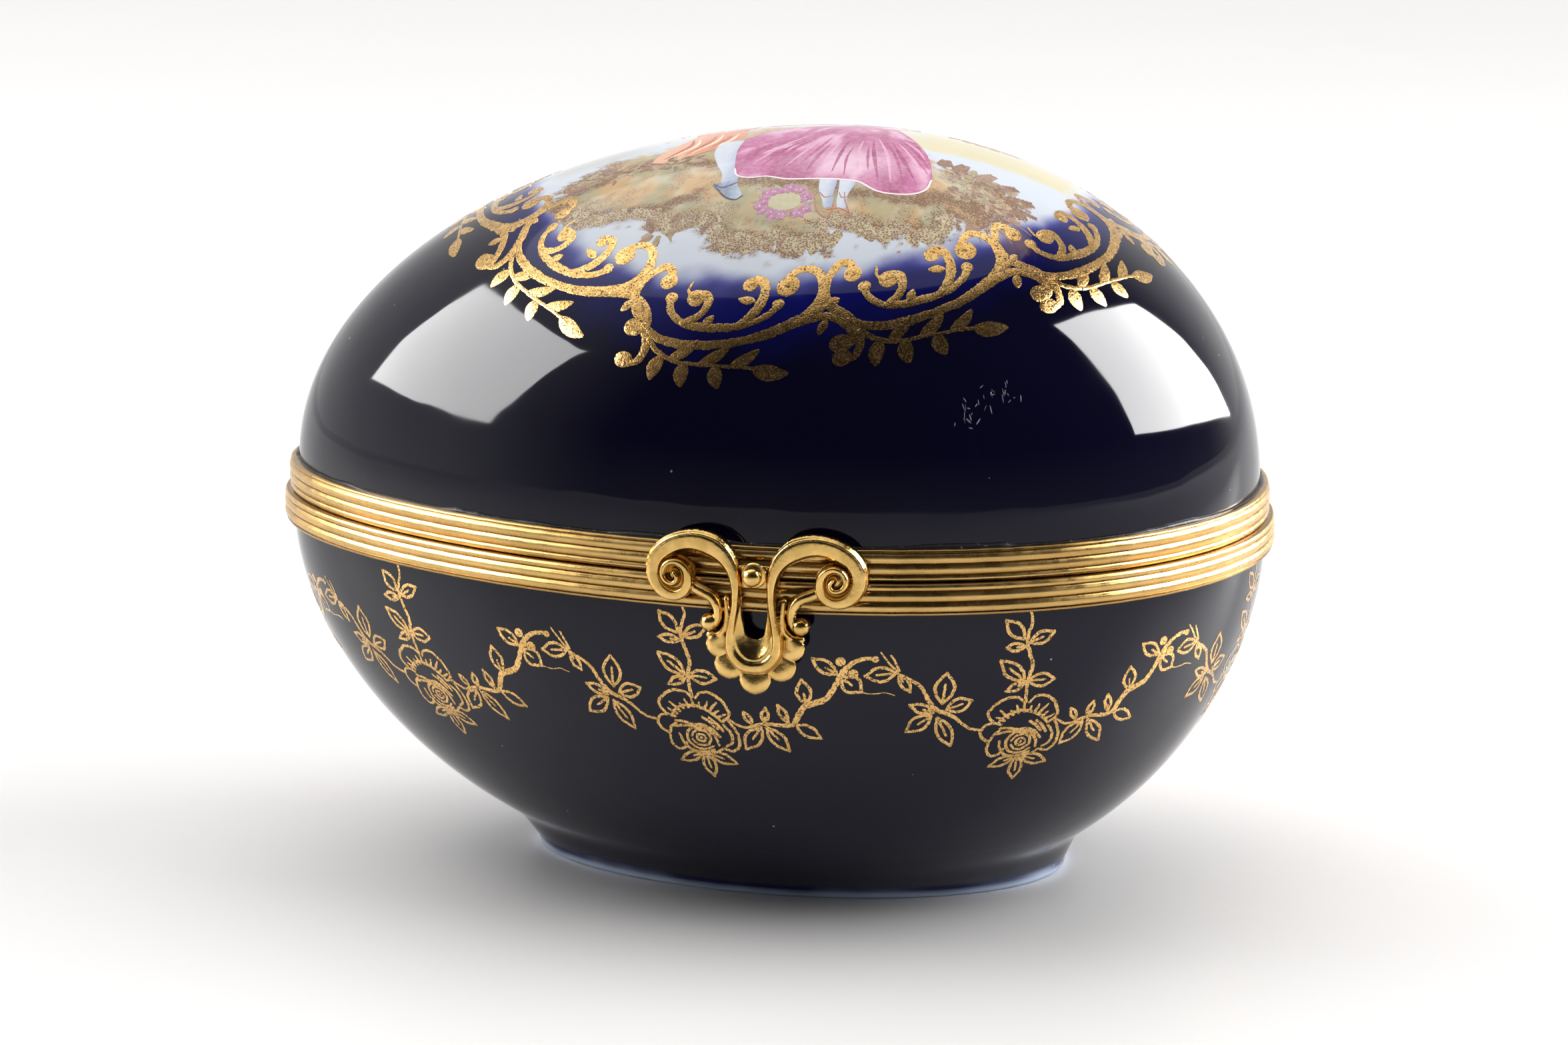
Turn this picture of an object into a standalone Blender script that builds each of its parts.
"""Egg-shaped porcelain trinket box with gilt brass mounts.

The blunt end of the egg is at +X, the clasp at -Y, the hinge at +Y.  The origin is on
the ground under the middle of the box.  The lid, its ring and the clasp turn together
about the hinge pin, which lies along X behind the rings at the height of their seam.
"""

import math

import bmesh
import bpy
from mathutils import Vector

# Driving dimensions, in metres.
RIM_HALF_LENGTH = 0.0655
RIM_HALF_WIDTH = 0.0464
EGG_TAPER = 0.15            # how much fuller the +X end of the egg is
SEAM_Z = 0.04755            # where the two rings meet
LID_SETBACK = 0.0007        # the lid and its ring are this much smaller all round
LID_RISE = 0.0446           # from the top of the upper ring to the top of the lid
LID_APEX_X = 0.0086
LID_ROUNDNESS_POINTED = 1.92    # exponent of the lid's profile at -X, 2 is an ellipse
LID_ROUNDNESS_BLUNT = 2.03      # the same at +X
BOWL_ROUNDNESS = 1.78           # exponent of the bowl's profile

# Brass rings.  Depths run inwards from the rings' outer face, heights away from the seam.
RING_HEIGHT = 0.00405
SEAM_HALF_GAP = 0.00007
RING_WEB = 0.00080
RING_SKIRT = 0.00115
RING_INNER_SKIRT = 0.00060
RING_INNER_HEIGHT = 0.00350
BEAD_RELIEF = 0.00030

# Porcelain.
PORCELAIN_INSET = 0.00130
WALL = 0.0030
BEDDING_GAP = 0.00005
BEDDING_THICKNESS = 0.00035
BEDDING_MARGIN = 0.00035    # from the wall's faces to the cement
FLOOR_Z = 0.0074
FLOOR_HALF_LENGTH = 0.0220
FLOOR_HALF_WIDTH = 0.0155
BOWL_POLE_X = 0.0055        # where the bowl's profile would end inside the foot
BOWL_POLE_Z = -0.0007
BOWL_POLE_HALF_LENGTH = 0.0179
BOWL_POLE_HALF_WIDTH = 0.0127
FOOT_CENTRE_X = 0.0038
FOOT_CREASE_Z = 0.0052
FOOT_HALF_LENGTH = 0.0351
FOOT_HALF_WIDTH = 0.0212
FOOT_TAPER = 0.05
FOOT_LAND = 0.0022
FOOT_RECESS = 0.0034

# Hinge, measured from its axis where it isn't said otherwise.
KNUCKLE_RADIUS = 0.00140
KNUCKLE_BORE = 0.00070
KNUCKLE_LENGTH = 0.0040
KNUCKLE_GAP = 0.00015
KNUCKLE_COUNT = 5
PIN_RADIUS = 0.00060
PIN_HEAD_RADIUS = 0.00100
PIN_HEAD_LENGTH = 0.00035
LEAF_NEAR = 0.00150
LEAF_THICKNESS = 0.00045
LEAF_GAP = 0.00010
STOP_ANGLE = math.radians(96.0)

# Clasp, in its own plane: across, up from the rivet, and out from the rings' face.
RIVET_ABOVE_SEAM = 0.0009
RIVET_HEAD_RADIUS = 0.00130
RIVET_STEM_RADIUS = 0.00055
RIVET_HOLE_RADIUS = 0.00068

EGG_SEGMENTS = 48
ROUND_SEGMENTS = 16

# Worked out from the driving dimensions.
WIDEST_COSINE = (math.sqrt(1 + 8 * EGG_TAPER ** 2) - 1) / (4 * EGG_TAPER)
WIDEST_X = RIM_HALF_LENGTH * WIDEST_COSINE
PORCELAIN_MOUTH = SEAM_HALF_GAP + RING_WEB + 2 * BEDDING_GAP + BEDDING_THICKNESS


def half_width_at(x):
    """Half of the rings' outer width at a station along the box."""
    cosine = x / RIM_HALF_LENGTH
    return RIM_HALF_WIDTH * math.sqrt(1 - cosine ** 2) * (1 + EGG_TAPER * cosine)


WIDEST_Y = half_width_at(WIDEST_X)
AXIS_Y = WIDEST_Y + KNUCKLE_RADIUS + 0.00015
LEAF_FAR = LEAF_NEAR + LEAF_THICKNESS
HINGE_BACK_Y = AXIS_Y + LEAF_FAR / math.tan(STOP_ANGLE / 2)
RIVET_TIP = HINGE_BACK_Y - WIDEST_Y     # the clasp stands out as far as the hinge


def make_material(name, colour, roughness, metallic):
    material = bpy.data.materials.new(name)
    material.use_nodes = True
    shader = material.node_tree.nodes["Principled BSDF"]
    shader.inputs["Base Color"].default_value = (*colour, 1)
    shader.inputs["Roughness"].default_value = roughness
    shader.inputs["Metallic"].default_value = metallic
    material.diffuse_color = (*colour, 1)
    return material


def new_collection(name):
    collection = bpy.data.collections.new(name)
    bpy.context.scene.collection.children.link(collection)
    return collection


def add_object(name, shape, material, collection):
    """Turn a bmesh into a smooth-shaded object."""
    bmesh.ops.recalc_face_normals(shape, faces=shape.faces)
    mesh = bpy.data.meshes.new(name)
    shape.to_mesh(mesh)
    shape.free()
    if material:
        mesh.materials.append(material)
    mesh.shade_smooth()
    mesh.set_sharp_from_angle(angle=math.radians(35))
    thing = bpy.data.objects.new(name, mesh)
    collection.objects.link(thing)
    return thing


def egg_ring(left, right, half_width, z, inset=0.0, taper=EGG_TAPER):
    """A closed egg-shaped curve at one height, moved inwards along its normals by inset."""
    middle = (left + right) / 2
    half_length = (right - left) / 2
    points = []
    for step in range(EGG_SEGMENTS):
        turn = 2 * math.pi * step / EGG_SEGMENTS
        cosine, sine = math.cos(turn), math.sin(turn)
        x = middle + half_length * cosine
        y = half_width * sine * (1 + taper * cosine)
        along = Vector((-half_length * sine, half_width * (cosine + taper * math.cos(2 * turn))))
        along.normalize()
        points.append(Vector((x - along.y * inset, y + along.x * inset, z)))
    return points


def rim_ring(depth, height, side):
    """A curve in a brass ring: depth in from its face, height from the seam, side up or down."""
    half = RIM_HALF_LENGTH
    if side > 0:
        depth += LID_SETBACK
    return egg_ring(-half, half, RIM_HALF_WIDTH, SEAM_Z + side * height, depth)


def level_ring(mouth, pole, drop, roundness, z):
    """A level of a bowl or dome: the mouth's curve at drop 0, the pole's at drop 1.

    roundness holds the profile's exponent at the -X end and at the +X end.
    """
    points = []
    for step, (rim, end) in enumerate(zip(mouth, pole)):
        blunt = (1 + math.cos(2 * math.pi * step / EGG_SEGMENTS)) / 2
        exponent = roundness[0] + (roundness[1] - roundness[0]) * blunt
        reach = max(1 - drop ** exponent, 0) ** (1 / exponent)
        x = end.x + (rim.x - end.x) * reach
        y = end.y + (rim.y - end.y) * reach
        points.append(Vector((x, y, z)))
    return points


def skin(shape, first, second):
    """Join two closed curves with a band of quads."""
    count = len(first)
    for index in range(count):
        following = (index + 1) % count
        shape.faces.new((first[index], first[following], second[following], second[index]))


def fan(shape, ring, point):
    centre = shape.verts.new(point)
    for index, vert in enumerate(ring):
        shape.faces.new((vert, ring[(index + 1) % len(ring)], centre))


def lofted(rings, start=None, end=None):
    """A closed solid through curves, ending in two points, or joined up if there are none."""
    shape = bmesh.new()
    verts = [[shape.verts.new(point) for point in ring] for ring in rings]
    for first, second in zip(verts, verts[1:]):
        skin(shape, first, second)
    if start is None:
        skin(shape, verts[-1], verts[0])
    else:
        fan(shape, verts[0], start)
        fan(shape, verts[-1], end)
    return shape


def dome_rings(depth, rise, levels):
    """Levels of the lid's surface: its mouth, the top of the ring, and up to the apex."""
    mouth = rim_ring(depth, PORCELAIN_MOUTH, 1)
    apex = [Vector((LID_APEX_X, 0))] * EGG_SEGMENTS
    roundness = (LID_ROUNDNESS_POINTED, LID_ROUNDNESS_BLUNT)
    ring_top = SEAM_Z + RING_HEIGHT
    rings = [mouth]
    for level in range(levels):
        height = math.sin(math.pi / 2 * level / levels)
        rings.append(level_ring(mouth, apex, height, roundness, ring_top + rise * height))
    return rings


def make_lid_dome(material, collection):
    outer = dome_rings(PORCELAIN_INSET, LID_RISE, 11)
    inner = dome_rings(PORCELAIN_INSET + WALL, LID_RISE - WALL, 9)
    top = SEAM_Z + RING_HEIGHT + LID_RISE
    shape = lofted(outer[::-1] + inner, (LID_APEX_X, 0, top), (LID_APEX_X, 0, top - WALL))
    return add_object("lid_dome", shape, material, collection)


def bowl_rings(depth, pole, last_z, levels):
    """Levels of the bowl's surface: its mouth, the bottom of the ring, and down to last_z."""
    mouth = rim_ring(depth, PORCELAIN_MOUTH, -1)
    ring_bottom = SEAM_Z - RING_HEIGHT
    pole_z = pole[0].z
    last_drop = min((ring_bottom - last_z) / (ring_bottom - pole_z), 1)
    roundness = (BOWL_ROUNDNESS, BOWL_ROUNDNESS)
    rings = [mouth]
    for level in range(levels + 1):
        drop = math.sin(math.asin(last_drop) * level / levels)
        z = ring_bottom - (ring_bottom - pole_z) * drop
        rings.append(level_ring(mouth, pole, drop, roundness, z))
    return rings


def foot_ring(inset, z):
    """A level of the foot, set in from its outer edge on the ground."""
    left = FOOT_CENTRE_X - FOOT_HALF_LENGTH
    right = FOOT_CENTRE_X + FOOT_HALF_LENGTH
    return egg_ring(left, right, FOOT_HALF_WIDTH, z, inset, FOOT_TAPER)


def make_base_bowl(material, collection):
    outer_pole = egg_ring(BOWL_POLE_X - BOWL_POLE_HALF_LENGTH, BOWL_POLE_X + BOWL_POLE_HALF_LENGTH,
                          BOWL_POLE_HALF_WIDTH, BOWL_POLE_Z)
    floor_edge = egg_ring(FOOT_CENTRE_X - FLOOR_HALF_LENGTH, FOOT_CENTRE_X + FLOOR_HALF_LENGTH,
                          FLOOR_HALF_WIDTH, FLOOR_Z)
    outer = bowl_rings(PORCELAIN_INSET, outer_pole, FOOT_CREASE_Z, 9)
    foot = [foot_ring(-0.0003, 0.0012), foot_ring(0, 0)]
    foot += [foot_ring(FOOT_LAND, 0), foot_ring(FOOT_LAND + 0.0008, FOOT_RECESS)]
    inner = bowl_rings(PORCELAIN_INSET + WALL, floor_edge, FLOOR_Z, 8)
    underside = (FOOT_CENTRE_X, 0, FOOT_RECESS)
    floor = (FOOT_CENTRE_X, 0, FLOOR_Z - 0.0004)
    shape = lofted((outer + foot)[::-1] + inner, underside, floor)
    return add_object("base_bowl", shape, material, collection)


def make_rim(name, side, material, collection):
    """A brass channel with three beads outside, which holds the edge of the porcelain."""
    web_top = SEAM_HALF_GAP + RING_WEB
    slot_depth = 2 * PORCELAIN_INSET + WALL - RING_SKIRT
    inner_face = slot_depth + RING_INNER_SKIRT
    profile = [
        (BEAD_RELIEF, SEAM_HALF_GAP),
        (0, 0.25 * RING_HEIGHT),
        (BEAD_RELIEF, 0.38 * RING_HEIGHT),
        (0, 0.50 * RING_HEIGHT),
        (BEAD_RELIEF, 0.63 * RING_HEIGHT),
        (0, 0.75 * RING_HEIGHT),
        (BEAD_RELIEF, RING_HEIGHT),
        (RING_SKIRT, RING_HEIGHT),
        (RING_SKIRT, web_top),
        (slot_depth, web_top),
        (slot_depth, RING_INNER_HEIGHT),
        (inner_face, RING_INNER_HEIGHT),
        (inner_face, SEAM_HALF_GAP),
    ]
    shape = lofted([rim_ring(depth, height, side) for depth, height in profile])
    return add_object(name, shape, material, collection)


def make_bedding(name, side, material, collection):
    """The cement between the edge of the porcelain and the web of its ring."""
    near = SEAM_HALF_GAP + RING_WEB + BEDDING_GAP
    far = near + BEDDING_THICKNESS
    outside = PORCELAIN_INSET + BEDDING_MARGIN
    inside = PORCELAIN_INSET + WALL - BEDDING_MARGIN
    profile = [(outside, near), (outside, far), (inside, far), (inside, near)]
    shape = lofted([rim_ring(depth, height, side) for depth, height in profile])
    return add_object(name, shape, material, collection)


def make_turned(name, profile, closed, material, collection):
    """Turn a profile of (radius, height) points about the object's Z axis."""
    mesh = bpy.data.meshes.new(name)
    edges = [(index, index + 1) for index in range(len(profile) - 1)]
    if closed:
        edges.append((len(profile) - 1, 0))
    mesh.from_pydata([(radius, 0, height) for radius, height in profile], edges, [])
    mesh.materials.append(material)
    thing = bpy.data.objects.new(name, mesh)
    collection.objects.link(thing)
    screw = thing.modifiers.new("turn", "SCREW")
    screw.steps = ROUND_SEGMENTS
    screw.render_steps = ROUND_SEGMENTS
    screw.use_merge_vertices = True
    screw.merge_threshold = 0.00001
    screw.use_smooth_shade = False
    return thing


def make_knuckle(name, place, material, collection):
    """One tube of the hinge; place counts from 0 at the -X end."""
    half = (KNUCKLE_LENGTH - KNUCKLE_GAP) / 2
    profile = [(KNUCKLE_RADIUS, half), (KNUCKLE_RADIUS, -half),
               (KNUCKLE_BORE, -half), (KNUCKLE_BORE, half)]
    knuckle = make_turned(name, profile, True, material, collection)
    knuckle.rotation_euler = (0, math.pi / 2, 0)
    middle = (KNUCKLE_COUNT - 1) / 2
    knuckle.location = (WIDEST_X + (place - middle) * KNUCKLE_LENGTH, AXIS_Y, SEAM_Z)
    return knuckle


def make_hinge_pin(material, collection):
    shank = KNUCKLE_COUNT * KNUCKLE_LENGTH / 2
    end = shank + PIN_HEAD_LENGTH
    profile = [(0, end), (PIN_HEAD_RADIUS, end), (PIN_HEAD_RADIUS, shank), (PIN_RADIUS, shank),
               (PIN_RADIUS, -shank), (PIN_HEAD_RADIUS, -shank), (PIN_HEAD_RADIUS, -end), (0, -end)]
    pin = make_turned("hinge_pin", profile, False, material, collection)
    pin.rotation_euler = (0, math.pi / 2, 0)
    pin.location = (WIDEST_X, AXIS_Y, SEAM_Z)
    return pin


def make_hinge_leaf(name, side, material, collection):
    """A plate on the back of a ring.  The far edges of the two plates meet as the stop."""
    half_length = (KNUCKLE_COUNT * KNUCKLE_LENGTH - KNUCKLE_GAP) / 2
    slope = math.tan(STOP_ANGLE / 2)
    setback = LID_SETBACK if side > 0 else 0
    shape = bmesh.new()
    rows = []
    stations = 8
    for station in range(stations + 1):
        x = WIDEST_X + half_length * (2 * station / stations - 1)
        face_y = half_width_at(x) - setback + LEAF_GAP
        corners = [
            (x, face_y, SEAM_Z + side * LEAF_NEAR),
            (x, AXIS_Y + LEAF_NEAR / slope, SEAM_Z + side * LEAF_NEAR),
            (x, AXIS_Y + LEAF_FAR / slope, SEAM_Z + side * LEAF_FAR),
            (x, face_y, SEAM_Z + side * LEAF_FAR),
        ]
        rows.append([shape.verts.new(corner) for corner in corners])
    for first, second in zip(rows, rows[1:]):
        skin(shape, first, second)
    shape.faces.new(rows[0])
    shape.faces.new(rows[-1][::-1])
    return add_object(name, shape, material, collection)


def plate(name, outline, back, front, collection):
    """A flat piece of the clasp: an outline of (across, up) points in mm, given a thickness."""
    shape = bmesh.new()
    verts = [shape.verts.new((across / 1000, -back / 1000, up / 1000)) for across, up in outline]
    base = shape.faces.new(verts)
    grown = bmesh.ops.extrude_face_region(shape, geom=[base])
    moved = [item for item in grown["geom"] if isinstance(item, bmesh.types.BMVert)]
    bmesh.ops.translate(shape, verts=moved, vec=(0, (back - front) / 1000, 0))
    return add_object(name, shape, None, collection)


def disc_outline(across, up, radius, sides=18):
    points = []
    for side in range(sides):
        turn = 2 * math.pi * side / sides
        points.append((across + radius * math.cos(turn), up + radius * math.sin(turn)))
    return points


def arc(across, up, radius, start, end, steps):
    """Points on an arc, from one angle in degrees to another."""
    points = []
    for step in range(steps + 1):
        turn = math.radians(start + (end - start) * step / steps)
        points.append((across + radius * math.cos(turn), up + radius * math.sin(turn)))
    return points


def band_outline(points, widths):
    """The outline of a strip that follows points; its width runs evenly through widths."""
    left, right = [], []
    for index, point in enumerate(points):
        before = Vector(points[max(index - 1, 0)])
        after = Vector(points[min(index + 1, len(points) - 1)])
        along = (after - before).normalized()
        place = index / (len(points) - 1) * (len(widths) - 1)
        low = min(int(place), len(widths) - 2)
        width = widths[low] + (widths[low + 1] - widths[low]) * (place - low)
        side = Vector((-along.y, along.x)) * width / 2
        left.append(tuple(Vector(point) + side))
        right.append(tuple(Vector(point) - side))
    return left + right[::-1]


def mirrored(outline):
    return [(-across, up) for across, up in outline[::-1]]


def clasp_plates(collection):
    """The flat pieces that the clasp is the union of, each with its own thickness."""
    arch = arc(-7.9, -0.4, 5.0, 200, 20, 10)
    arm = [(-2.75, -1.2), (-2.65, -3.5), (-2.95, -6.0)]
    bend = arc(0, -8.6, 3.0, 180, 360, 10)
    rail = arch + arm + bend + [(-across, up) for across, up in (arch + arm)[::-1]]
    widths = [1.6, 2.2, 1.5, 1.2, 1.3, 1.6, 1.3, 1.2, 1.5, 2.2, 1.6]
    pieces = [plate("clasp_rail", band_outline(rail, widths), 0.15, 1.95, collection)]
    slot_edge = [(-2.0, -5.5)] + arc(0, -7.9, 1.9, 190, 350, 8) + [(2.0, -5.5)]
    pieces.append(plate("clasp_slot", band_outline(slot_edge, [0.9, 1.3, 1.6, 1.3, 0.9]),
                        0.22, 1.10, collection))
    web = [(-2.4, 1.2), (-2.4, -1.9), (2.4, -1.9), (2.4, 1.2)]
    pieces.append(plate("clasp_web", web, 0.18, 1.20, collection))
    pad = [(-2.2, 2.6), (-2.2, -0.6), (2.2, -0.6), (2.2, 2.6)]
    pieces.append(plate("clasp_pad", pad, -0.55, 0.60, collection))
    lobes = [(0, -13.7, 1.9), (3.3, -12.0, 1.8), (4.6, -9.2, 1.7)]
    for number, (across, up, radius) in enumerate(lobes):
        lobe = disc_outline(across, up, radius)
        front = 1.30 + 0.05 * number
        back = 0.26 + 0.02 * number
        pieces.append(plate(f"clasp_lobe_{number}", lobe, back, front, collection))
        if across:
            pieces.append(plate(f"clasp_lobe_{number}_left", mirrored(lobe), back, front, collection))
    curl = [(7.7, -2.6), (6.2, -2.8), (5.1, -3.8), (4.9, -5.2), (5.4, -6.6)]
    halves = {
        "volute": (disc_outline(10.6, -0.8, 3.5), 0.20, 1.70),
        "boss": (disc_outline(10.4, -0.8, 1.9), 0.24, 2.40),
        "curl": (band_outline(curl, [1.5, 1.5, 1.4, 1.2]), 0.30, 1.45),
        "berry": (disc_outline(5.9, -6.3, 1.2), 0.34, 1.85),
        "shoulder": (band_outline([(4.6, -6.8), (3.2, -8.2)], [1.6, 1.6]), 0.38, 1.15),
    }
    for name, (outline, back, front) in halves.items():
        pieces.append(plate(f"clasp_{name}", outline, back, front, collection))
        pieces.append(plate(f"clasp_{name}_left", mirrored(outline), back, front, collection))
    return pieces


def make_clasp(material, collection, cutters):
    """The cast scroll and shell, joined from its plates, drilled, and bent round the rings."""
    pieces = clasp_plates(cutters)
    body = pieces[0]
    for piece in pieces[1:]:
        union = body.modifiers.new(piece.name, "BOOLEAN")
        union.operation = "UNION"
        union.object = piece
    hole = plate("clasp_hole", disc_outline(0, 0, RIVET_HOLE_RADIUS * 1000, 12), -1, 3, cutters)
    drill = body.modifiers.new("hole", "BOOLEAN")
    drill.operation = "DIFFERENCE"
    drill.object = hole
    bpy.context.view_layer.update()
    evaluated = body.evaluated_get(bpy.context.evaluated_depsgraph_get())
    shape = bmesh.new()
    shape.from_mesh(evaluated.to_mesh())
    evaluated.to_mesh_clear()
    body.modifiers.clear()
    bmesh.ops.remove_doubles(shape, verts=shape.verts, dist=0.000002)
    spacing = 0.0034
    for line in range(-4, 5):
        geometry = shape.verts[:] + shape.edges[:] + shape.faces[:]
        bmesh.ops.bisect_plane(shape, geom=geometry, dist=0.0000001,
                               plane_co=(line * spacing + 0.0007, 0, 0), plane_no=(1, 0, 0))
    bmesh.ops.triangulate(shape, faces=shape.faces)
    for vert in shape.verts:
        x = WIDEST_X + vert.co.x
        vert.co = Vector((x, vert.co.y - half_width_at(x), SEAM_Z + RIVET_ABOVE_SEAM + vert.co.z))
    return add_object("clasp", shape, material, collection)


def make_clasp_rivet(material, collection):
    """A ball-headed stud through the clasp's web, against the upper ring."""
    web_front = 0.00125
    head_height = RIVET_TIP - web_front
    profile = [(0, head_height)]
    for step in range(1, 6):
        turn = math.pi / 2 * step / 5
        profile.append((RIVET_HEAD_RADIUS * math.sin(turn), head_height * math.cos(turn)))
    stem_end = -web_front - LID_SETBACK + 0.00006
    profile += [(RIVET_STEM_RADIUS, 0), (RIVET_STEM_RADIUS, stem_end), (0, stem_end)]
    rivet = make_turned("clasp_rivet", profile, False, material, collection)
    rivet.rotation_euler = (math.pi / 2, 0, 0)
    rivet.location = (WIDEST_X, -WIDEST_Y - web_front, SEAM_Z + RIVET_ABOVE_SEAM)
    return rivet


def make_hinge_axis(collection):
    axis = bpy.data.objects.new("lid_hinge_axis", None)
    axis.empty_display_size = 0.01
    axis.location = (WIDEST_X, AXIS_Y, SEAM_Z)
    collection.objects.link(axis)
    return axis


def hang_on(axis, pieces):
    """Parent pieces to the hinge axis without moving them."""
    for piece in pieces:
        piece.parent = axis
        piece.location = piece.location - axis.location


def build():
    for thing in list(bpy.data.objects):
        bpy.data.objects.remove(thing)
    parts = new_collection("porcelain_trinket_box")
    cutters = new_collection("cutters")

    glaze = make_material("cobalt_glaze", (0.006, 0.007, 0.020), 0.06, 0.0)
    gilt = make_material("gilt_brass", (0.80, 0.54, 0.20), 0.28, 1.0)
    bright_gilt = make_material("bright_gilt_casting", (0.86, 0.60, 0.24), 0.22, 1.0)
    steel = make_material("pin_brass", (0.62, 0.46, 0.22), 0.35, 1.0)
    cement = make_material("bedding_cement", (0.55, 0.52, 0.46), 0.85, 0.0)

    make_base_bowl(glaze, parts)
    make_rim("lower_rim", -1, gilt, parts)
    make_bedding("lower_bedding", -1, cement, parts)
    make_hinge_leaf("hinge_leaf_base", -1, gilt, parts)
    for place, side in ((0, "left"), (2, "centre"), (4, "right")):
        make_knuckle(f"knuckle_base_{side}", place, gilt, parts)
    make_hinge_pin(steel, parts)

    lid_pieces = [
        make_lid_dome(glaze, parts),
        make_rim("upper_rim", 1, gilt, parts),
        make_bedding("upper_bedding", 1, cement, parts),
        make_hinge_leaf("hinge_leaf_lid", 1, gilt, parts),
        make_knuckle("knuckle_lid_left", 1, gilt, parts),
        make_knuckle("knuckle_lid_right", 3, gilt, parts),
        make_clasp(bright_gilt, parts, cutters),
        make_clasp_rivet(bright_gilt, parts),
    ]
    hang_on(make_hinge_axis(parts), lid_pieces)

    for cutter in cutters.objects:
        cutter.hide_render = True
        cutter.display_type = "WIRE"


build()
